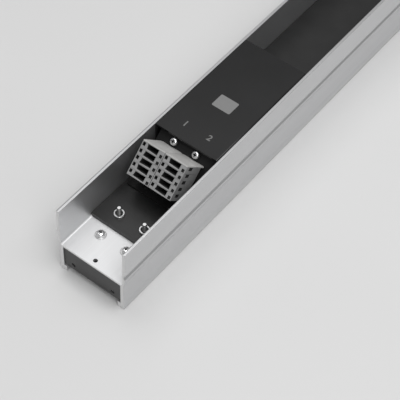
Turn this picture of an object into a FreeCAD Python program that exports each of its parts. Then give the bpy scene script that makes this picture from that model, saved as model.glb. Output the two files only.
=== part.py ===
import FreeCAD, Part
import math
import os
from types import SimpleNamespace

import Sketcher

# Rack power rail: an aluminium H-section rail with a connection compartment at its near end.
# X runs across the rail, Y along it from the connection end, Z up from the floor.
# The origin is under the middle of the rail. All lengths are in millimetres, angles in degrees.

SIZES = {
    # Whole rail
    "rail_length": 700,
    "rail_width": 56.5,
    "rail_height": 60,
    # Upper walls and web
    "wall_thickness": 2.1,
    "web_top": 26.2,
    "web_thickness": 1.6,
    "web_fillet": 1.2,
    # Relief along the outside of the walls, from the web upwards
    "taper_height": 6.0,
    "bead_height": 1.3,
    "bead_reach": 0.1,
    "flank_height": 1.2,
    "groove_height": 3.6,
    "groove_wall": 1.05,
    "groove_bevel": 1.1,
    "brow_height": 1.5,
    "brow_slope": 2.6,
    "brow_reach": 0.5,
    "wall_lean": 0.2,
    "relief_round": 0.4,
    # Lower walls and their feet
    "lower_offset": 0.65,
    "lower_wall": 2.5,
    "foot_flare": 0.9,
    "foot_round": 1.3,
    "foot_side": 1.2,
    "foot_slope": 4.4,
    "lip_reach": 2.4,
    "lip_height": 4.9,
    # End caps of the lower chamber
    "cap_thickness": 1.2,
    "cap_recess": 1.0,
    "cap_gap": 0.1,
    "cap_hole_diameter": 3.2,
    "cap_hole_spacing": 33.5,
    "cap_hole_height": 9.6,
    "tongue_width": 16,
    "tongue_length": 8,
    "tongue_hole_setback": 4.2,
    "tongue_hole_diameter": 3.2,
    "tongue_pilot_diameter": 2.5,
    # Floor strip on the web
    "strip_thickness": 3.2,
    "strip_setback": 30.4,
    "strip_gap": 0.25,
    "strip_hole_gap": 0.3,
    # Cover, flush with the wall tops and reaching over the top of the ramp
    "cover_overlap": 3.56,
    "cover_length": 102,
    "cover_sheet": 1.5,
    "cover_gap": 0.25,
    # Terminal bracket, bent from sheet: its ramp rises from the floor strip to just under the cover
    "bracket_sheet": 1.5,
    "bracket_start": 64,
    "foot_length": 12.6,
    "bracket_side_gap": 1.4,
    "bracket_cover_gap": 2.64,
    "flange_length": 7,
    # Terminals on the ramp
    "terminal_width": 18.1,
    "terminal_depth": 27.2,
    "terminal_pitch": 5.0,
    "column_gap": 0.36,
    "stack_start": 0.9,
    "end_plate_thickness": 0.8,
    "end_plate_corner": 1.5,
    "entry_width": 8.2,
    "entry_height": 3.1,
    "entry_depth": 13,
    "entry_funnel": 0.5,
    "entry_rise": 0.3,
    "test_hole_width": 2.0,
    "test_hole_height": 2.4,
    "test_hole_depth": 3.8,
    "test_hole_offset": 7.3,
    "test_hole_rise": 0.75,
    "release_width": 2.0,
    "release_height": 2.2,
    "release_depth": 1.2,
    "release_offset": 7.3,
    "release_drop": 0.9,
    "side_slot_setback": 4.3,
    "side_slot_length": 5.0,
    "side_slot_height": 2.4,
    "side_slot_depth": 1.2,
    "side_slot_rise": 1.1,
    "foot_notch_height": 3.0,
    "foot_notch_depth": 2.2,
    # Screws, washers and studs
    "screw_shank": 3.0,
    "screw_head_diameter": 5.6,
    "screw_head_height": 2.4,
    "screw_head_rim": 1.2,
    "screw_head_flat": 3.6,
    "washer_diameter": 8.0,
    "washer_bore": 3.2,
    "washer_thickness": 0.5,
    "web_screw_spacing": 21.7,
    "web_screw_offset": 8.2,
    "web_screw_length": 6,
    "stud_diameter": 3.2,
    "stud_bevel": 0.4,
    "stud_spacing": 21.7,
    "stud_inset": 10.8,
    "stud_stand": 7.0,
    "stud_tail": 2,
    "bush_diameter": 7.6,
    "bush_bore": 5.2,
    "bush_height": 1.4,
    "bracket_screw_setback": 4.2,
    "bracket_screw_stand": 1.6,
    "bracket_screw_length": 7,
}
POLES = 5


class Dim:
    """A size known both as a number and as an expression on the sheet."""

    def __init__(self, value, text):
        self.value = value
        self.text = text

    def __add__(self, other):
        other = as_dim(other)
        return Dim(self.value + other.value, f"({self.text} + {other.text})")

    def __sub__(self, other):
        other = as_dim(other)
        return Dim(self.value - other.value, f"({self.text} - {other.text})")

    def __mul__(self, other):
        other = as_dim(other)
        return Dim(self.value * other.value, f"({self.text} * {other.text})")

    def __truediv__(self, other):
        other = as_dim(other)
        return Dim(self.value / other.value, f"({self.text} / {other.text})")

    def __neg__(self):
        return Dim(-self.value, f"(-1 * {self.text})")


def as_dim(number):
    return number if isinstance(number, Dim) else Dim(number, f"{number}")


def square_root(size):
    return Dim(math.sqrt(size.value), f"sqrt({size.text})")


# The document and its sheet of sizes
doc = FreeCAD.newDocument("rack_power_rail")
sheet = doc.addObject("Spreadsheet::Sheet", "Sizes")
for row, (size_name, size_value) in enumerate(SIZES.items(), start=1):
    sheet.set(f"A{row}", size_name)
    sheet.set(f"B{row}", str(size_value))
    sheet.setAlias(f"B{row}", size_name)
doc.recompute()
s = SimpleNamespace(**{name: Dim(value, f"Sizes.{name}") for name, value in SIZES.items()})
ZERO = as_dim(0)
subparts = []


# Sketch and feature helpers
def new_body(label):
    body = doc.addObject("PartDesign::Body", label)
    body.Label = label
    subparts.append(body)
    return body


def bind(feature, prop, size):
    feature.setExpression(prop, size.text)


def new_sketch(body, name, role, offset=ZERO):
    """An empty sketch on an origin plane of the body, moved along that plane's normal."""
    sketch = body.newObject("Sketcher::SketchObject", name)
    plane = next(item for item in body.Origin.OriginFeatures if item.Role == role)
    sketch.AttachmentSupport = [(plane, "")]
    sketch.MapMode = "FlatFace"
    bind(sketch, "AttachmentOffset.Base.z", offset)
    return sketch


def fix_coordinate(sketch, kind, geometry, vertex, size):
    """Hold one coordinate of a point at a signed distance from the sketch's origin."""
    axis = {"DistanceX": -2, "DistanceY": -1}[kind]
    if size.value == 0:
        sketch.addConstraint(Sketcher.Constraint("PointOnObject", geometry, vertex, axis))
        return
    if size.value > 0:
        constraint = Sketcher.Constraint(kind, -1, 1, geometry, vertex, size.value)
    else:
        size = -size
        constraint = Sketcher.Constraint(kind, geometry, vertex, -1, 1, size.value)
    index = sketch.addConstraint(constraint)
    bind(sketch, f"Constraints[{index}]", size)


def add_outline(sketch, points):
    """A closed outline of straight lines through points given as pairs of sizes."""
    corners = [FreeCAD.Vector(across.value, along.value, 0) for across, along in points]
    first = sketch.GeometryCount
    count = len(corners)
    for i in range(count):
        sketch.addGeometry(Part.LineSegment(corners[i], corners[(i + 1) % count]), False)
    for i in range(count):
        following = first + (i + 1) % count
        sketch.addConstraint(Sketcher.Constraint("Coincident", first + i, 2, following, 1))
    for i, (across, along) in enumerate(points):
        fix_coordinate(sketch, "DistanceX", first + i, 1, across)
        fix_coordinate(sketch, "DistanceY", first + i, 1, along)


def add_box_outline(sketch, left, right, low, high):
    add_outline(sketch, [(left, low), (right, low), (right, high), (left, high)])


def add_centred_box(sketch, across, along, width, height):
    add_box_outline(sketch, across - width / 2, across + width / 2, along - height / 2, along + height / 2)


def add_circle(sketch, across, along, diameter):
    centre = FreeCAD.Vector(across.value, along.value, 0)
    index = sketch.addGeometry(Part.Circle(centre, FreeCAD.Vector(0, 0, 1), diameter.value / 2), False)
    fix_coordinate(sketch, "DistanceX", index, 3, across)
    fix_coordinate(sketch, "DistanceY", index, 3, along)
    constraint = sketch.addConstraint(Sketcher.Constraint("Diameter", index, diameter.value))
    bind(sketch, f"Constraints[{constraint}]", diameter)


def add_feature(body, kind, sketch, length, reverse):
    feature = body.newObject(f"PartDesign::{kind}", f"{body.Label}_{kind}")
    feature.Profile = sketch
    feature.Reversed = reverse
    bind(feature, "Length", length)
    doc.recompute()
    return feature


def pad(body, sketch, length, reverse=False):
    return add_feature(body, "Pad", sketch, length, reverse)


def pocket(body, sketch, length, reverse=False):
    """Cut a sketch into the body and make sure that it took material away."""
    before = body.Shape.Volume
    feature = add_feature(body, "Pocket", sketch, length, reverse)
    if body.Shape.Volume >= before - 1e-6:
        raise RuntimeError(f"{feature.Name} cuts nothing")
    return feature


def edges_where(shape, test):
    return [f"Edge{i}" for i, edge in enumerate(shape.Edges, start=1) if test(edge)]


def dress(body, kind, prop, size, test):
    """Fillet or chamfer the edges that pass a test."""
    base = body.Tip
    names = edges_where(base.Shape, test)
    if not names:
        raise RuntimeError(f"{body.Label} has no edge for its {kind}")
    feature = body.newObject(f"PartDesign::{kind}", f"{body.Label}_{kind}")
    feature.Base = (base, names)
    bind(feature, prop, size)
    doc.recompute()
    return feature


def place(body, across, along, up, turn=None):
    """Set a body in the rail's frame, where along counts from the connection end."""
    if turn is not None:
        body.Placement = FreeCAD.Placement(FreeCAD.Vector(), turn)
    bind(body, "Placement.Base.x", across)
    bind(body, "Placement.Base.y", along - s.rail_length / 2)
    bind(body, "Placement.Base.z", up)


def near(first, second):
    return abs(first - second) < 1e-4


def lengthwise_at(across, up):
    """A test for edges that run along the rail on both sides, at one height."""
    def test(edge):
        start, end = [vertex.Point for vertex in edge.Vertexes]
        on_line = near(abs(start.x), across.value) and near(start.z, up.value)
        return on_line and near(start.x, end.x) and near(start.z, end.z)

    return test


# Levels and widths that several pieces share
upper_outer = s.rail_width / 2
upper_inner = upper_outer - s.wall_thickness
lower_outer = upper_inner + s.lower_offset
lower_inner = lower_outer - s.lower_wall
web_bottom = s.web_top - s.web_thickness
strip_top = s.web_top + s.strip_thickness
cover_outer = upper_inner - s.cover_gap
cover_inner = cover_outer - s.cover_sheet
cover_under = s.rail_height - s.cover_sheet
column_x = (s.terminal_width + s.column_gap) / 2

# The ramp carries the terminals and then their two screws, and its slope fills the room under the cover
ramp_start = s.bracket_start + s.foot_length
ramp_foot = strip_top + s.bracket_sheet
flange_top = cover_under - s.bracket_cover_gap
stack_end = s.stack_start + s.terminal_pitch * POLES + s.end_plate_thickness
screw_reach = stack_end + s.bracket_screw_setback
ramp_run = screw_reach + s.bracket_screw_setback
ramp_sine = (flange_top - ramp_foot) / ramp_run
ramp_cosine = square_root(as_dim(1) - ramp_sine * ramp_sine)
ramp_tilt = math.degrees(math.asin(ramp_sine.value))
flange_start = ramp_start + ramp_run * ramp_cosine
cover_start = flange_start - s.cover_overlap

# Fasteners either side of the floor strip's near edge
web_screw_y = s.strip_setback - s.web_screw_offset
stud_y = s.strip_setback + s.stud_inset


def on_ramp(reach, stand=ZERO):
    """Distance along the rail and height of a point up the ramp, standing off its upper face."""
    along = ramp_start + ramp_cosine * reach - ramp_sine * stand
    up = ramp_foot + ramp_sine * reach + ramp_cosine * stand
    return along, up


# Relief along the outside of the rail: a taper up to a bead, and a brow over the groove above it
foot_x = lower_outer + s.foot_flare
foot_shoulder = s.foot_round + s.foot_side
bead_x = upper_outer + s.bead_reach
bead_low = s.web_top + s.taper_height
bead_high = bead_low + s.bead_height
groove_low = bead_high + s.flank_height
groove_high = groove_low + s.groove_height
brow_x = upper_outer + s.wall_lean + s.brow_reach
brow_low = groove_high + s.groove_bevel
brow_high = brow_low + s.brow_height


# Extruded rail
def half_section():
    """The right half of the rail's section, from the web's top round to its underside."""
    lip_x = lower_inner - s.lip_reach
    groove_x = upper_inner + s.groove_wall
    return [
        (ZERO, s.web_top),
        (upper_inner, s.web_top),
        (upper_inner, s.rail_height),
        (upper_outer, s.rail_height),
        (upper_outer + s.wall_lean, brow_high + s.brow_slope),
        (brow_x, brow_high),
        (brow_x, brow_low),
        (groove_x, groove_high),
        (groove_x, groove_low),
        (bead_x, bead_high),
        (bead_x, bead_low),
        (lower_outer, s.web_top),
        (lower_outer, foot_shoulder + s.foot_slope),
        (foot_x, foot_shoulder),
        (foot_x, ZERO),
        (lip_x, ZERO),
        (lip_x, s.lip_height),
        (lower_inner, s.lip_height),
        (lower_inner, web_bottom),
        (ZERO, web_bottom),
    ]


def make_rail():
    body = new_body("rail_profile")
    section = new_sketch(body, "rail_section", "XZ_Plane")
    add_outline(section, half_section())
    half = pad(body, section, s.rail_length, reverse=True)
    mirror = body.newObject("PartDesign::Mirrored", "rail_other_half")
    mirror.Originals = [half]
    mirror.MirrorPlane = (section, ["V_Axis"])
    body.Tip = mirror
    doc.recompute()

    dress(body, "Fillet", "Radius", s.web_fillet, lengthwise_at(upper_inner, s.web_top))
    dress(body, "Fillet", "Radius", s.foot_round, lengthwise_at(foot_x, ZERO))
    for across, up in ((bead_x, bead_low), (bead_x, bead_high), (brow_x, brow_low)):
        dress(body, "Fillet", "Radius", s.relief_round, lengthwise_at(across, up))

    holes = new_sketch(body, "web_holes", "XY_Plane", s.web_top)
    add_circle(holes, ZERO, s.tongue_hole_setback, s.tongue_hole_diameter)
    add_circle(holes, ZERO, s.rail_length - s.tongue_hole_setback, s.tongue_hole_diameter)
    for side in (-1, 1):
        add_circle(holes, s.web_screw_spacing / 2 * side, web_screw_y, s.screw_shank)
        add_circle(holes, s.stud_spacing / 2 * side, stud_y, s.stud_diameter)
    pocket(body, holes, s.web_thickness)
    place(body, ZERO, ZERO, ZERO)


def make_end_cap(label, at_far_end):
    """A plate between the lower walls, with a tongue screwed under the web."""
    body = new_body(label)
    half_width = lower_inner - s.cap_gap
    plate_back = s.cap_recess + s.cap_thickness
    plate = new_sketch(body, f"{label}_plate", "XZ_Plane", -s.cap_recess)
    add_box_outline(plate, -half_width, half_width, s.lip_height, web_bottom)
    for side in (-1, 1):
        add_circle(plate, s.cap_hole_spacing / 2 * side, s.cap_hole_height, s.cap_hole_diameter)
    pad(body, plate, s.cap_thickness, reverse=True)

    tongue = new_sketch(body, f"{label}_tongue", "XY_Plane", web_bottom - s.cap_thickness)
    half_tongue = s.tongue_width / 2
    add_box_outline(tongue, -half_tongue, half_tongue, plate_back, plate_back + s.tongue_length)
    add_circle(tongue, ZERO, s.tongue_hole_setback, s.tongue_pilot_diameter)
    pad(body, tongue, s.cap_thickness)
    if at_far_end:
        half_turn = FreeCAD.Rotation(FreeCAD.Vector(0, 0, 1), 180)
        place(body, ZERO, s.rail_length, ZERO, half_turn)
    else:
        place(body, ZERO, ZERO, ZERO)


def make_floor_strip():
    body = new_body("floor_strip")
    half_width = upper_inner - s.strip_gap
    bevel = s.web_fillet + s.strip_gap
    section = new_sketch(body, "strip_section", "XZ_Plane", -s.strip_setback)
    add_outline(section, [
        (bevel - half_width, s.web_top),
        (half_width - bevel, s.web_top),
        (half_width, s.web_top + bevel),
        (half_width, strip_top),
        (-half_width, strip_top),
        (-half_width, s.web_top + bevel),
    ])
    pad(body, section, s.rail_length - s.strip_setback * 2, reverse=True)
    holes = new_sketch(body, "strip_holes", "XY_Plane", strip_top)
    for side in (-1, 1):
        add_circle(holes, s.stud_spacing / 2 * side, stud_y, s.stud_diameter + s.strip_hole_gap * 2)
    pocket(body, holes, s.strip_thickness)
    place(body, ZERO, ZERO, ZERO)


def make_cover():
    """A folded cover: its top is flush with the walls and its sides stand on the floor strip."""
    body = new_body("cover_plate")
    section = new_sketch(body, "cover_section", "XZ_Plane", -cover_start)
    add_outline(section, [
        (-cover_outer, strip_top),
        (-cover_inner, strip_top),
        (-cover_inner, cover_under),
        (cover_inner, cover_under),
        (cover_inner, strip_top),
        (cover_outer, strip_top),
        (cover_outer, s.rail_height),
        (-cover_outer, s.rail_height),
    ])
    pad(body, section, s.cover_length, reverse=True)
    dress(body, "Fillet", "Radius", s.cover_sheet / 2, lengthwise_at(cover_outer, s.rail_height))
    place(body, ZERO, ZERO, ZERO)


def square_to_ramp(turn=0):
    """A rotation about X that stands a local Z axis square to the ramp, or turned on from there."""
    return FreeCAD.Rotation(FreeCAD.Vector(1, 0, 0), ramp_tilt + turn)


def make_bracket():
    """A bent sheet: foot on the floor strip, ramp, top flange and a rear leg back to the strip."""
    body = new_body("terminal_bracket")
    bend = s.bracket_sheet * ramp_sine / (ramp_cosine + 1)
    flange_end = flange_start + s.flange_length
    flange_under = flange_top - s.bracket_sheet
    half_width = cover_inner - s.bracket_side_gap
    side = new_sketch(body, "bracket_side", "YZ_Plane", -half_width)
    add_outline(side, [
        (s.bracket_start, strip_top),
        (ramp_start + bend, strip_top),
        (flange_start + bend, flange_under),
        (flange_end - s.bracket_sheet, flange_under),
        (flange_end - s.bracket_sheet, strip_top),
        (flange_end, strip_top),
        (flange_end, flange_top),
        (flange_start, flange_top),
        (ramp_start, ramp_foot),
        (s.bracket_start, ramp_foot),
    ])
    pad(body, side, half_width * 2)
    holes = new_sketch(body, "bracket_holes", "XY_Plane")
    along, up = on_ramp(screw_reach)
    holes.AttachmentOffset = FreeCAD.Placement(FreeCAD.Vector(), square_to_ramp())
    bind(holes, "AttachmentOffset.Base.y", along)
    bind(holes, "AttachmentOffset.Base.z", up)
    for sign in (-1, 1):
        add_circle(holes, column_x * sign, ZERO, s.screw_shank)
    pocket(body, holes, s.bracket_sheet)
    place(body, ZERO, ZERO, ZERO)


# Terminals, drawn with local X across, local Y from the front to the ramp and local Z up the ramp
def flank_outline():
    """The flank of one pole: a straight front, straight sides and a notched snap-in foot."""
    half_width = s.terminal_width / 2
    waist = half_width - s.foot_notch_depth
    return [
        (-half_width, -s.terminal_depth),
        (half_width, -s.terminal_depth),
        (half_width, -s.foot_notch_height * 2),
        (waist, -s.foot_notch_height),
        (waist, ZERO),
        (-waist, ZERO),
        (-waist, -s.foot_notch_height),
        (-half_width, -s.foot_notch_height * 2),
    ]


def place_on_ramp(body, side):
    along, up = on_ramp(s.stack_start)
    place(body, column_x * side, along, up, square_to_ramp(turn=-90))


def make_pole(label, side, index):
    """One pole: a funnelled wire entry between a test hole and a release slot, and a slot in each flank."""
    body = new_body(label)
    low = s.terminal_pitch * index
    middle = low + s.terminal_pitch / 2
    outline = new_sketch(body, f"{label}_outline", "XY_Plane", low)
    add_outline(outline, flank_outline())
    pad(body, outline, s.terminal_pitch)

    front = -s.terminal_depth
    entry = new_sketch(body, f"{label}_entry", "XZ_Plane", -front)
    add_centred_box(entry, ZERO, middle + s.entry_rise, s.entry_width, s.entry_height)
    pocket(body, entry, s.entry_depth)

    def on_entry_rim(edge):
        ends = [vertex.Point for vertex in edge.Vertexes]
        at_sides = [near(abs(point.x), s.entry_width.value / 2) for point in ends]
        return all(at_sides) and all(near(point.y, front.value) for point in ends)

    dress(body, "Chamfer", "Size", s.entry_funnel, on_entry_rim)

    test_hole = new_sketch(body, f"{label}_test_hole", "XZ_Plane", -front)
    test_up = middle + s.test_hole_rise
    add_centred_box(test_hole, -s.test_hole_offset, test_up, s.test_hole_width, s.test_hole_height)
    pocket(body, test_hole, s.test_hole_depth)

    release = new_sketch(body, f"{label}_release", "XZ_Plane", -front)
    release_up = middle - s.release_drop
    add_centred_box(release, s.release_offset, release_up, s.release_width, s.release_height)
    pocket(body, release, s.release_depth)

    slot_middle = front + s.side_slot_setback + s.side_slot_length / 2
    for name, sign, reverse in (("left", -1, True), ("right", 1, False)):
        slot = new_sketch(body, f"{label}_slot_{name}", "YZ_Plane", s.terminal_width / 2 * sign)
        add_centred_box(
            slot, slot_middle, middle + s.side_slot_rise, s.side_slot_length, s.side_slot_height
        )
        pocket(body, slot, s.side_slot_depth, reverse)
    place_on_ramp(body, side)


def make_end_plate(label, side):
    """A thin plate that closes the top of a column, with the corners at the ramp cut off."""
    body = new_body(label)
    half_width = s.terminal_width / 2
    foot = half_width - s.end_plate_corner
    outline = new_sketch(body, f"{label}_outline", "XY_Plane", s.terminal_pitch * POLES)
    add_outline(outline, [
        (-half_width, -s.terminal_depth),
        (half_width, -s.terminal_depth),
        (half_width, -s.end_plate_corner),
        (foot, ZERO),
        (-foot, ZERO),
        (-half_width, -s.end_plate_corner),
    ])
    pad(body, outline, s.end_plate_thickness)
    place_on_ramp(body, side)


# Fasteners, drawn with the underside of the head at their own origin
def turn_profile(body, points):
    profile = new_sketch(body, f"{body.Label}_profile", "XZ_Plane")
    add_outline(profile, points)
    turned = body.newObject("PartDesign::Revolution", f"{body.Label}_turned")
    turned.Profile = profile
    turned.ReferenceAxis = (profile, ["V_Axis"])
    turned.Angle = 360
    doc.recompute()


def make_screw(label, length, across, along, up, turn=None):
    """A pan-head screw with its shank pointing down, or turned from there."""
    body = new_body(label)
    shank = s.screw_shank / 2
    head = s.screw_head_diameter / 2
    turn_profile(body, [
        (ZERO, -length),
        (shank, -length),
        (shank, ZERO),
        (head, ZERO),
        (head, s.screw_head_rim),
        (s.screw_head_flat / 2, s.screw_head_height),
        (ZERO, s.screw_head_height),
    ])
    place(body, across, along, up, turn)


def make_ring(label, bore, diameter, height, across, along, up):
    """A plain washer or bush that lies flat."""
    body = new_body(label)
    turn_profile(body, [(bore / 2, ZERO), (diameter / 2, ZERO), (diameter / 2, height), (bore / 2, height)])
    place(body, across, along, up)


def make_stud(label, across, along):
    """A threaded stud that stands in the web and rises through the floor strip."""
    body = new_body(label)
    radius = s.stud_diameter / 2
    foot = s.web_thickness + s.strip_thickness + s.stud_tail
    turn_profile(body, [
        (ZERO, -foot),
        (radius, -foot),
        (radius, s.stud_stand - s.stud_bevel),
        (radius - s.stud_bevel, s.stud_stand),
        (ZERO, s.stud_stand),
    ])
    place(body, across, along, strip_top)


def make_fasteners():
    for name, side in (("left", -1), ("right", 1)):
        web_x = s.web_screw_spacing / 2 * side
        make_ring(
            f"web_washer_{name}",
            s.washer_bore,
            s.washer_diameter,
            s.washer_thickness,
            web_x,
            web_screw_y,
            s.web_top,
        )
        make_screw(
            f"web_screw_{name}",
            s.web_screw_length,
            web_x,
            web_screw_y,
            s.web_top + s.washer_thickness,
        )
        stud_x = s.stud_spacing / 2 * side
        make_stud(f"strip_stud_{name}", stud_x, stud_y)
        make_ring(
            f"strip_bush_{name}",
            s.bush_bore,
            s.bush_diameter,
            s.bush_height,
            stud_x,
            stud_y,
            strip_top,
        )
        make_screw(
            f"bracket_screw_{name}",
            s.bracket_screw_length,
            column_x * side,
            *on_ramp(screw_reach, s.bracket_screw_stand),
            square_to_ramp(),
        )


def check_document():
    """Stop if any object failed or any sub-part is not one sound solid."""
    failed = [item.Name for item in doc.Objects if {"Invalid", "Error"} & set(item.State)]
    if failed:
        raise RuntimeError(f"failed objects: {failed}")
    for body in subparts:
        shape = body.Shape
        if shape.isNull() or not shape.isValid() or len(shape.Solids) != 1:
            raise RuntimeError(f"{body.Label} is not one valid solid")


def export_parts():
    os.makedirs("parts", exist_ok=True)
    for body in subparts:
        body.Shape.exportStep(f"parts/{body.Label}.step")


make_rail()
make_end_cap("end_cap_near", at_far_end=False)
make_end_cap("end_cap_far", at_far_end=True)
make_floor_strip()
make_cover()
make_bracket()
for column, column_side in ((1, -1), (2, 1)):
    for pole in range(POLES):
        make_pole(f"terminal_{column}_{pole + 1}", column_side, POLES - 1 - pole)
    make_end_plate(f"terminal_end_plate_{column}", column_side)
make_fasteners()
doc.recompute()
check_document()
export_parts()
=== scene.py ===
import math

import bmesh
import bpy
from mathutils import Matrix, Vector


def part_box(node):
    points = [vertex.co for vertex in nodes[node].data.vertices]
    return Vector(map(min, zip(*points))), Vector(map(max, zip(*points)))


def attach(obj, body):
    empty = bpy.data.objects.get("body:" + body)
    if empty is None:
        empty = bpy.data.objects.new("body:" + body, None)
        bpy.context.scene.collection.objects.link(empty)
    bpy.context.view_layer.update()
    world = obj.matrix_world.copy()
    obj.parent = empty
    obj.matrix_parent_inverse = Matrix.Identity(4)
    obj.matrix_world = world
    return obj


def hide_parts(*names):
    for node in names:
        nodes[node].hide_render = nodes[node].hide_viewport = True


# Looks of the rack power rail. Blender's lengths are metres, and the sizes named here are millimetres.
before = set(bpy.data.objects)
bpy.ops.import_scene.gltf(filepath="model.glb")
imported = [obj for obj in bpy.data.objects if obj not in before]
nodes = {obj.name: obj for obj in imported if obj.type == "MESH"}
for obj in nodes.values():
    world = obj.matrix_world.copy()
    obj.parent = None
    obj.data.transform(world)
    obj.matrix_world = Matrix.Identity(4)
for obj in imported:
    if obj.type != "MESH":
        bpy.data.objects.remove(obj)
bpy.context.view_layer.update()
MM = 0.001
SHARP_ANGLE = math.radians(35)
ACROSS = Vector((1, 0, 0))
UPRIGHT = Vector((0, 0, 1))
COLUMNS = (1, 2)
POLES = (1, 2, 3, 4, 5)


# Places of the CAD nodes
def middle(name):
    low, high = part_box(name)
    return (low + high) / 2


def span(name, axis):
    """The nearest and the farthest reach of a node along an axis."""
    node = nodes[name]
    reach = [axis.dot(node.matrix_world @ vertex.co) for vertex in node.data.vertices]
    return min(reach), max(reach)


# The ramp that carries the terminals rises along their column
UP_RAMP = (middle("terminal_1_1") - middle("terminal_1_5")).normalized()
OFF_RAMP = ACROSS.cross(UP_RAMP)


# Materials
class Finish:
    """A node material whose textures are placed in the part's own frame."""

    def __init__(self, name, values):
        self.material = bpy.data.materials.new(name)
        self.material.use_nodes = True
        self.tree = self.material.node_tree
        self.shader = self.tree.nodes["Principled BSDF"]
        for socket, value in values.items():
            self.shader.inputs[socket].default_value = value
        self.place = self.add("ShaderNodeTexCoord").outputs["Object"]

    def add(self, kind, inputs=None, **settings):
        node = self.tree.nodes.new(kind)
        for name, value in settings.items():
            setattr(node, name, value)
        for name, value in (inputs or {}).items():
            if isinstance(value, bpy.types.NodeSocket):
                self.tree.links.new(value, node.inputs[name])
            else:
                node.inputs[name].default_value = value
        return node

    def noise(self, across, along, up, detail=3.0):
        """Noise with grains of about these lengths along X, Y and Z."""
        scale = [1 / (length * MM) for length in (across, along, up)]
        mapping = self.add("ShaderNodeMapping", {"Vector": self.place, "Scale": scale})
        inputs = {"Vector": mapping.outputs["Vector"], "Scale": 1.0, "Detail": detail}
        return self.add("ShaderNodeTexNoise", inputs).outputs["Fac"]

    def spread(self, value, low, high):
        """The middle of a noise's range stretched from low to high."""
        inputs = {"Value": value, "From Min": 0.3, "From Max": 0.7, "To Min": low, "To Max": high}
        return self.add("ShaderNodeMapRange", inputs).outputs["Result"]

    def colours(self, value, dark, light):
        ramp = self.add("ShaderNodeValToRGB", {"Fac": value})
        ramp.color_ramp.elements[0].position = 0.3
        ramp.color_ramp.elements[1].position = 0.7
        ramp.color_ramp.elements[0].color = (*dark, 1)
        ramp.color_ramp.elements[1].color = (*light, 1)
        return ramp.outputs["Color"]

    def drive(self, socket, value):
        self.tree.links.new(value, self.shader.inputs[socket])

    def relief(self, *layers):
        """Bumps laid over each other, each a height and its depth."""
        normal = None
        for height, depth in layers:
            inputs = {"Height": height, "Distance": depth * MM, "Strength": 1.0}
            if normal is not None:
                inputs["Normal"] = normal
            normal = self.add("ShaderNodeBump", inputs).outputs["Normal"]
        self.drive("Normal", normal)


def grey(level, warmth=0.0):
    """A nearly neutral colour, a little yellow for a positive warmth and a little blue for a negative one."""
    return (level * (1 + warmth * 0.4), level, level * (1 - warmth))


def make_aluminium(name, level, metallic, rough):
    finish = Finish(name, {"Metallic": metallic})
    die_lines = finish.noise(0.5, 160, 0.5)
    handling = finish.noise(30, 60, 30)
    grain = finish.noise(0.15, 0.15, 0.15)
    finish.drive("Base Color", finish.colours(die_lines, grey(level, -0.01), grey(level + 0.03, -0.01)))
    finish.drive("Roughness", finish.spread(handling, rough, rough + 0.05))
    finish.relief((die_lines, 0.0012), (grain, 0.0006))
    return finish.material


def make_cut_aluminium():
    finish = Finish("aluminium_saw_cut", {"Metallic": 0.3})
    saw_marks = finish.noise(0.25, 0.25, 9)
    patches = finish.noise(3, 3, 3)
    finish.drive("Base Color", finish.colours(saw_marks, grey(0.69), grey(0.79)))
    finish.drive("Roughness", finish.spread(patches, 0.4, 0.5))
    finish.relief((saw_marks, 0.02))
    return finish.material


def make_zinc(name, dark, light, rough):
    finish = Finish(name, {"Metallic": 1.0})
    spangle = finish.noise(0.9, 0.9, 0.9)
    scratches = finish.noise(0.08, 0.6, 0.08)
    finish.drive("Base Color", finish.colours(spangle, dark, light))
    finish.drive("Roughness", finish.spread(scratches, rough - 0.07, rough + 0.07))
    finish.relief((scratches, 0.003))
    return finish.material


def make_plastic(name, dark, light, rough, specular, texture_depth):
    """Moulded plastic with a fine eroded texture and slow changes of shade and gloss."""
    finish = Finish(name, {"Specular IOR Level": specular})
    shade = finish.noise(14, 14, 14)
    texture = finish.noise(0.3, 0.3, 0.3, detail=5.0)
    finish.drive("Base Color", finish.colours(shade, dark, light))
    finish.drive("Roughness", finish.spread(texture, rough - 0.06, rough + 0.06))
    finish.relief((texture, texture_depth))
    return finish.material


def make_powder_coat(name, dark, light, rough, specular):
    finish = Finish(name, {"Specular IOR Level": specular})
    shade = finish.noise(40, 40, 40)
    orange_peel = finish.noise(1.1, 1.1, 1.1)
    grit = finish.noise(0.2, 0.2, 0.2)
    finish.drive("Base Color", finish.colours(shade, dark, light))
    finish.drive("Roughness", finish.spread(grit, rough - 0.05, rough + 0.05))
    finish.relief((orange_peel, 0.008), (grit, 0.002))
    return finish.material


def make_print(name, dark, light):
    finish = Finish(name, {"Specular IOR Level": 0.3})
    patches = finish.noise(0.4, 0.4, 0.4)
    finish.drive("Base Color", finish.colours(patches, dark, light))
    finish.drive("Roughness", finish.spread(patches, 0.5, 0.62))
    finish.relief((patches, 0.003))
    return finish.material


aluminium = make_aluminium("aluminium_satin_extruded", 0.60, 0.85, 0.28)
# The web's copy of the extrusion's aluminium is paler than the walls' (0.69 against 0.60): painted top light
# on the up-facing web.
web_aluminium_painted_light = make_aluminium("aluminium_web_painted_light", 0.69, 0.35, 0.45)
inner_aluminium = make_aluminium("aluminium_satin_inner", 0.60, 0.95, 0.4)
cut_aluminium = make_cut_aluminium()
zinc = make_zinc("zinc_steel_plated", grey(0.78, 0.01), grey(0.86, -0.02), 0.29)
# The washers' zinc is darker than the screws' (0.46-0.54 against 0.78-0.86): painted shade around the screw
# heads.
washer_zinc_painted_shade = make_zinc("zinc_steel_washer_painted_shade", grey(0.46, 0.01), grey(0.54, -0.01), 0.36)
# Darker zinc for the studs' threaded sides: painted shade of the thread's grooves, on the same plating as the
# bright top.
thread_zinc_painted_shade = make_zinc("zinc_steel_thread_painted_shade", grey(0.15), grey(0.22), 0.42)
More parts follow.
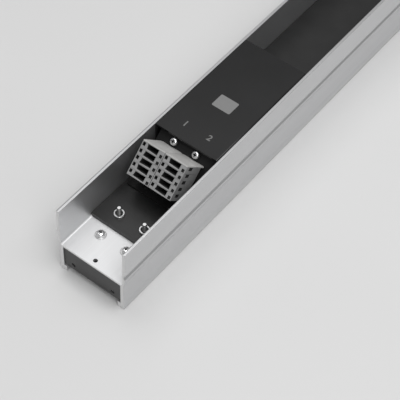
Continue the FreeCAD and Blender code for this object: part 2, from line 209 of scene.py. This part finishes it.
# Nearly black zinc for the insides of the screws' cross recesses: painted shade.
recess_zinc_painted_shade = make_zinc("zinc_steel_recess_painted_shade", grey(0.03), grey(0.05), 0.5)
cover_paint = make_powder_coat("dark_paint_cover", grey(0.007, -0.03), grey(0.010, -0.03), 0.20, 0.42)
bracket_paint = make_powder_coat("dark_paint_bracket", grey(0.008), grey(0.011), 0.6, 0.2)
strip_plastic = make_plastic("dark_plastic_strip", grey(0.009), grey(0.013), 0.36, 0.5, 0.006)
cap_plastic = make_plastic("dark_plastic_cap", grey(0.058), grey(0.068), 0.5, 0.4, 0.012)
terminal_plastic = make_plastic("terminal_grey_polyamide", grey(0.235), grey(0.275), 0.48, 0.45, 0.010)
plate_plastic = make_plastic("terminal_grey_end_plate", grey(0.42, 0.02), grey(0.47, 0.02), 0.5, 0.45, 0.010)
# Near-black plastic for the insides of the terminals' openings: painted shade.
painted_shade_plastic = make_plastic("terminal_openings_painted_shade", grey(0.020), grey(0.026), 0.7, 0.2, 0.010)
print_grey = make_print("screen_print_numbers", grey(0.14), grey(0.18))
field_grey = make_print("screen_print_field", grey(0.18), grey(0.21))


# Materials and softened edges of the CAD nodes
def coat(name, material):
    node = nodes[name]
    node.data.materials.clear()
    node.data.materials.append(material)
    return node


def coat_faces(mesh, material, chosen):
    """Give the faces that pass a test a material of their own."""
    mesh.materials.append(material)
    index = len(mesh.materials) - 1
    for face in mesh.polygons:
        if chosen(face):
            face.material_index = index


def round_edges(node, width, segments, limit_method):
    """Join the vertices that neighbouring faces hold twice, then round the edges that the method picks."""
    weld = node.modifiers.new("weld", "WELD")
    weld.merge_threshold = 0.001 * MM
    bevel = node.modifiers.new("rounded_edges", "BEVEL")
    bevel.width = width * MM
    bevel.segments = segments
    bevel.limit_method = limit_method
    bevel.angle_limit = SHARP_ANGLE
    bevel.harden_normals = True


def soften(name, width):
    """Round a node's sharp edges a little, as the real edges are."""
    round_edges(nodes[name], width, 2, "ANGLE")


def round_top_edges(name, width):
    """Round the edges that run along a node at its very top."""
    node = nodes[name]
    mesh = node.data
    close = 0.01 * MM
    top = max(vertex.co.z for vertex in mesh.vertices)
    weights = mesh.attributes.new("bevel_weight_edge", "FLOAT", "EDGE")
    for edge in mesh.edges:
        first, second = (mesh.vertices[index].co for index in edge.vertices)
        lengthwise = abs(first.x - second.x) < close
        at_top = min(first.z, second.z) > top - close
        weights.data[edge.index].value = 1.0 if lengthwise and at_top else 0.0
    round_edges(node, width, 4, "WEIGHT")


WEB_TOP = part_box("floor_strip")[0].z
WALL_INSIDE = 26.3


def on_cut_end(face):
    return abs(face.normal.y) > 0.99


def in_channel(face):
    """A test for the rail's faces in the upper channel: the web's top, the fillets and the walls' insides."""
    inward = face.normal.x * face.center.x < 1e-6 and not on_cut_end(face)
    above_web = face.center.z > WEB_TOP - 0.1 * MM
    return inward and above_web and abs(face.center.x) < WALL_INSIDE * MM


def on_channel_floor(face):
    """A test for the web's top and the fillets beside it."""
    return in_channel(face) and face.normal.z > 0.15


rail = coat("rail_profile", aluminium)
coat_faces(rail.data, cut_aluminium, on_cut_end)
coat_faces(rail.data, inner_aluminium, in_channel)
# The web's top and its fillets get the paler aluminium: painted top light.
coat_faces(rail.data, web_aluminium_painted_light, on_channel_floor)
round_top_edges("rail_profile", 0.6)
soften("rail_profile", 0.2)
coat("floor_strip", strip_plastic)
for cap in ("end_cap_near", "end_cap_far"):
    coat(cap, cap_plastic)
    soften(cap, 0.2)
for sheet_piece, paint in (("cover_plate", cover_paint), ("terminal_bracket", bracket_paint)):
    coat(sheet_piece, paint)
    soften(sheet_piece, 0.3)


# Terminals: the insides of their openings are dark with painted shade
FOOT_DEPTH = 10


def inside_openings(name):
    """A test for faces that lie in a pole's openings: off its outside and well in front of its foot."""
    axes = (ACROSS, UP_RAMP, OFF_RAMP)
    outside = [span(name, axis) for axis in axes]
    foot = outside[2][0] + FOOT_DEPTH * MM
    skin = 0.3 * MM

    def test(face):
        centre = nodes[name].matrix_world @ face.center
        place = [axis.dot(centre) for axis in axes]
        off_outside = all(low + skin < at < high - skin for at, (low, high) in zip(place, outside))
        return off_outside and place[2] > foot

    return test


for column in COLUMNS:
    for pole in POLES:
        name = f"terminal_{column}_{pole}"
        terminal = coat(name, terminal_plastic)
        # Faces inside the openings get the near-black plastic: painted shade.
        coat_faces(terminal.data, painted_shade_plastic, inside_openings(name))
        soften(name, 0.15)
    coat(f"terminal_end_plate_{column}", plate_plastic)
    soften(f"terminal_end_plate_{column}", 0.15)


# Pieces made here
TURNED_SIDES = 48
THREAD_SIDES = 32
STEPS_PER_TURN = 8
THREAD_PITCH = 0.5
THREAD_DEPTH = 0.27
SCREW_RADIUS = 1.48
STUD_RADIUS = 1.6
RECESS_DEPTH = 1.35
HEAD = 2.4
HEAD_PROFILE = (
    (2.55, 0.0), (2.75, 0.12), (2.8, 0.35), (2.8, 0.85), (2.68, 1.35), (2.42, 1.8), (2.05, 2.12), (1.5, 2.32),
    (0.7, HEAD),
)
WASHER_PROFILE = (
    (1.6, 0.1), (1.7, 0.0), (3.85, 0.0), (4.0, 0.12), (4.0, 0.38), (3.85, 0.5), (1.7, 0.5), (1.6, 0.4),
)
BUSH_PROFILE = (
    (2.6, 0.2), (2.8, 0.0), (3.6, 0.0), (3.8, 0.2), (3.8, 1.1), (3.5, 1.4), (2.85, 1.4), (2.6, 1.2),
)


def add_piece(name, mesh, material, slot, *replaced):
    piece = bpy.data.objects.new(name, mesh)
    bpy.context.scene.collection.objects.link(piece)
    mesh.materials.clear()
    mesh.materials.append(material)
    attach(piece, "root")
    if replaced:
        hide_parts(*replaced)
    return piece


def finish_mesh(name, bm):
    bmesh.ops.recalc_face_normals(bm, faces=bm.faces)
    mesh = bpy.data.meshes.new(name)
    bm.to_mesh(mesh)
    bm.free()
    mesh.shade_smooth()
    mesh.set_sharp_from_angle(angle=SHARP_ANGLE)
    return mesh


def add_ring(bm, radius_at, height, segments):
    """One ring of vertices whose radius may change with the angle."""
    ring = []
    for i in range(segments):
        angle = 2 * math.pi * i / segments
        radius = radius_at(angle)
        ring.append(bm.verts.new(Vector((radius * math.cos(angle), radius * math.sin(angle), height)) * MM))
    return ring


def join_rings(bm, low, high):
    count = len(low)
    for i in range(count):
        j = (i + 1) % count
        bm.faces.new((low[i], low[j], high[j], high[i]))


def turned(bm, profile, closed=False):
    """A turned shape through (radius, height) points, capped flat or closed into a ring."""
    rings = [add_ring(bm, lambda angle, r=radius: r, height, TURNED_SIDES) for radius, height in profile]
    for low, high in zip(rings, rings[1:]):
        join_rings(bm, low, high)
    if closed:
        join_rings(bm, rings[-1], rings[0])
    else:
        bm.faces.new(rings[0])
        bm.faces.new(rings[-1])


def threaded(bm, radius, bottom, top, lead):
    """A threaded shank along Z with both ends chamfered by a lead."""
    steps = round((top - bottom) / THREAD_PITCH * STEPS_PER_TURN)
    rings = []
    for i in range(steps + 1):
        height = bottom + (top - bottom) * i / steps
        to_end = min(height - bottom, top - height)
        limit = radius - max(0.0, lead - to_end)

        def radius_at(angle, height=height, limit=limit):
            phase = (height / THREAD_PITCH - angle / (2 * math.pi)) % 1.0
            return min(limit, radius - THREAD_DEPTH * abs(2 * phase - 1))

        rings.append(add_ring(bm, radius_at, height, THREAD_SIDES))
    for low, high in zip(rings, rings[1:]):
        join_rings(bm, low, high)
    bm.faces.new(rings[0])
    bm.faces.new(rings[-1])


def cross_cutter():
    """A tapered cross that cuts a screwdriver recess down from a head's top."""
    bm = bmesh.new()
    rings = []
    for height, reach, half_width in ((HEAD + 0.3, 1.6, 0.46), (HEAD - RECESS_DEPTH, 0.85, 0.26)):
        corners = []
        for quarter in range(4):
            turn = Matrix.Rotation(quarter * math.pi / 2, 3, "Z")
            for x, y in ((half_width, half_width), (half_width, reach), (-half_width, reach)):
                corners.append(bm.verts.new(turn @ Vector((x, y, height)) * MM))
        rings.append(corners)
    join_rings(bm, rings[1], rings[0])
    bm.faces.new(rings[0])
    bm.faces.new(rings[1])
    return finish_mesh("recess_cutter", bm)


def carve(mesh, cutter_mesh):
    """The mesh with a cutter's shape taken out of it."""
    body = bpy.data.objects.new("carved", mesh)
    cutter = bpy.data.objects.new("cutter", cutter_mesh)
    for item in (body, cutter):
        bpy.context.scene.collection.objects.link(item)
    cut = body.modifiers.new("recess", "BOOLEAN")
    cut.object = cutter
    cut.operation = "DIFFERENCE"
    cut.solver = "EXACT"
    graph = bpy.context.evaluated_depsgraph_get()
    result = bpy.data.meshes.new_from_object(body.evaluated_get(graph))
    bpy.data.objects.remove(body)
    bpy.data.objects.remove(cutter)
    return result


def stand(mesh, seat, axis):
    """Move a mesh made along Z onto a seat, with Z turned to an axis."""
    turn = UPRIGHT.rotation_difference(axis).to_matrix().to_4x4()
    mesh.transform(Matrix.Translation(seat) @ turn)
    return mesh


def make_screw_mesh(name, length):
    """A pan-head screw with a cross recess and a threaded shank, its head on the plane Z = 0."""
    bm = bmesh.new()
    turned(bm, HEAD_PROFILE)
    head = carve(finish_mesh(f"{name}_head", bm), cross_cutter())
    bm = bmesh.new()
    bm.from_mesh(head)
    threaded(bm, SCREW_RADIUS, -length, 0.2, 0.3)
    return finish_mesh(name, bm)


def add_screw(name, length, seat, axis, replaced):
    """A screw standing on its seat, the inside of its cross recess dark with painted shade."""
    mesh = make_screw_mesh(name, length)
    # Faces inside the cross recess, which get the painted shade
    recess = set()
    for face in mesh.polygons:
        x, y, z = face.center / MM
        in_cross = math.hypot(x, y) < 1.75 and z > 0.5
        under_dome = face.normal.z < 0.8 or z < HEAD - 0.6
        if in_cross and under_dome:
            recess.add(face.index)
    add_piece(name, stand(mesh, seat, axis), zinc, "zinc_steel", replaced)
    coat_faces(mesh, recess_zinc_painted_shade, lambda face: face.index in recess)


for side in ("left", "right"):
    washer_low, washer_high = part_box(f"web_washer_{side}")
    seat = middle(f"web_washer_{side}")
    bm = bmesh.new()
    turned(bm, WASHER_PROFILE, closed=True)
    washer = stand(finish_mesh("washer", bm), Vector((seat.x, seat.y, washer_low.z)), UPRIGHT)
    # The washer gets the darker zinc, painted shade around the screw head.
    add_piece(f"plated_washer_{side}", washer, washer_zinc_painted_shade, "zinc_steel", f"web_washer_{side}")
    seat.z = washer_high.z
    add_screw(f"plated_web_screw_{side}", 6, seat, UPRIGHT, f"web_screw_{side}")

    stud_low, stud_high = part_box(f"strip_stud_{side}")
    seat = middle(f"strip_stud_{side}")
    bm = bmesh.new()
    threaded(bm, STUD_RADIUS, 0, (stud_high.z - stud_low.z) / MM, 0.45)
    stud = stand(finish_mesh("stud", bm), Vector((seat.x, seat.y, stud_low.z)), UPRIGHT)
    add_piece(f"plated_stud_{side}", stud, zinc, "zinc_steel", f"strip_stud_{side}")
    # The stud's sides, all but its top end, get the darker zinc: painted shade.
    coat_faces(stud, thread_zinc_painted_shade, lambda face: face.normal.z < 0.9)
    bush_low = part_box(f"strip_bush_{side}")[0]
    bm = bmesh.new()
    turned(bm, BUSH_PROFILE, closed=True)
    bush = stand(finish_mesh("bush", bm), Vector((seat.x, seat.y, bush_low.z)), UPRIGHT)
    add_piece(f"plated_bush_{side}", bush, zinc, "zinc_steel", f"strip_bush_{side}")

    name = f"bracket_screw_{side}"
    across, up_ramp = (sum(span(name, axis)) / 2 for axis in (ACROSS, UP_RAMP))
    head_top = span(name, OFF_RAMP)[1]
    seat = ACROSS * across + UP_RAMP * up_ramp + OFF_RAMP * (head_top - HEAD * MM)
    add_screw(f"plated_{name}", 7, seat, OFF_RAMP, name)


# Print on the cover: a number for each column of terminals and a blank write-on field
COVER_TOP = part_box("cover_plate")[1].z
PRINT_THICKNESS = 0.03
PRINT_BOLDNESS = 0.02
CORNER_STEPS = 6


def add_number(text, across, along, height):
    curve = bpy.data.curves.new(f"number_{text}", "FONT")
    curve.body = text
    curve.extrude = PRINT_THICKNESS * MM / 2
    curve.offset = PRINT_BOLDNESS
    letter = bpy.data.objects.new("letter", curve)
    bpy.context.scene.collection.objects.link(letter)
    graph = bpy.context.evaluated_depsgraph_get()
    mesh = bpy.data.meshes.new_from_object(letter.evaluated_get(graph))
    bpy.data.objects.remove(letter)
    xs = [vertex.co.x for vertex in mesh.vertices]
    ys = [vertex.co.y for vertex in mesh.vertices]
    scale = height * MM / (max(ys) - min(ys))
    centre = Vector(((max(xs) + min(xs)) / 2, (max(ys) + min(ys)) / 2, 0))
    shrink = Matrix.Diagonal((scale, scale, 1, 1))
    seat = Vector((across * MM, along * MM, COVER_TOP + PRINT_THICKNESS * MM / 2))
    mesh.transform(Matrix.Translation(seat) @ shrink @ Matrix.Translation(-centre))
    add_piece(f"printed_number_{text}", mesh, print_grey, "terminal_grey")


def add_field(name, across, along, width, length, corner):
    """A plain printed field with rounded corners."""
    bm = bmesh.new()
    bottom = []
    for turn_x, turn_y, first in ((1, 1, 0), (-1, 1, 1), (-1, -1, 2), (1, -1, 3)):
        for step in range(CORNER_STEPS + 1):
            angle = (first + step / CORNER_STEPS) * math.pi / 2
            x = across + turn_x * (width / 2 - corner) + corner * math.cos(angle)
            y = along + turn_y * (length / 2 - corner) + corner * math.sin(angle)
            bottom.append(bm.verts.new(Vector((x, y, COVER_TOP / MM)) * MM))
    top = [bm.verts.new(vertex.co + UPRIGHT * PRINT_THICKNESS * MM) for vertex in bottom]
    join_rings(bm, bottom, top)
    bm.faces.new(bottom)
    bm.faces.new(top)
    add_piece(name, finish_mesh(name, bm), field_grey, "terminal_grey")


add_number("1", -10.1, -239.5, 5.0)
add_number("2", 10.1, -239.5, 5.0)
add_field("printed_blank_field", 0.0, -208.8, 15.0, 12.0, 1.0)


# Floor, light and camera
def make_floor():
    finish = Finish("pale_floor", {"Specular IOR Level": 0.2})
    patches = finish.noise(300, 300, 300)
    finish.drive("Base Color", finish.colours(patches, grey(0.62), grey(0.64)))
    finish.drive("Roughness", finish.spread(patches, 0.75, 0.85))
    bm = bmesh.new()
    bmesh.ops.create_grid(bm, x_segments=1, y_segments=1, size=6)
    floor = bpy.data.objects.new("floor", finish_mesh("floor", bm))
    floor.data.materials.append(finish.material)
    floor.location.z = -0.0002
    bpy.context.scene.collection.objects.link(floor)


def add_softbox(name, place, radiance):
    """A square lamp of one radiance, one metre wide, turned to face the part."""
    side = 1.0
    part = Vector((0, -0.1, 0))
    lamp = bpy.data.lights.new(name, "AREA")
    lamp.shape = "SQUARE"
    lamp.size = side
    lamp.energy = radiance * math.pi * side ** 2
    softbox = bpy.data.objects.new(name, lamp)
    softbox.location = place
    softbox.rotation_euler = (part - Vector(place)).to_track_quat("-Z", "Y").to_euler()
    bpy.context.scene.collection.objects.link(softbox)


def make_light():
    world = bpy.data.worlds.new("studio")
    world.use_nodes = True
    background = world.node_tree.nodes["Background"]
    background.inputs["Color"].default_value = (1, 1, 1, 1)
    background.inputs["Strength"].default_value = 0.33
    bpy.context.scene.world = world
    add_softbox("left_softbox", (-0.62, -0.1, 1.9), 2.1)
    add_softbox("right_softbox", (0.62, -0.1, 1.9), 4.0)
    add_softbox("overhead_softbox", (0, -0.1, 2.0), 1.7)
    add_softbox("key_softbox", (-0.58, 0.6, 1.78), 0.5)
    add_softbox("near_softbox", (0.91, -1.01, 1.53), 3.5)


def make_camera():
    """The photograph's viewpoint: azimuth and elevation of the camera seen from the rail, and its roll."""
    azimuth, elevation, roll = (math.radians(angle) for angle in (35.131, 51.908, -3.327))
    back = Vector((
        math.sin(azimuth) * math.cos(elevation),
        -math.cos(azimuth) * math.cos(elevation),
        math.sin(elevation),
    ))
    level = Vector((math.cos(azimuth), math.sin(azimuth), 0))
    upright = back.cross(level)
    right = level * math.cos(roll) - upright * math.sin(roll)
    up = level * math.sin(roll) + upright * math.cos(roll)
    camera = bpy.data.cameras.new("camera")
    camera.lens = 122.19
    camera.sensor_width = 36
    camera.clip_start = 0.01
    eye = bpy.data.objects.new("camera", camera)
    turn = Matrix((right, up, back)).transposed().to_4x4()
    eye.matrix_world = Matrix.Translation((0.3463, -0.7244, 0.7454)) @ turn
    bpy.context.scene.collection.objects.link(eye)
    bpy.context.scene.camera = eye


make_floor()
make_light()
make_camera()
bpy.context.scene.view_settings.view_transform = "Standard"
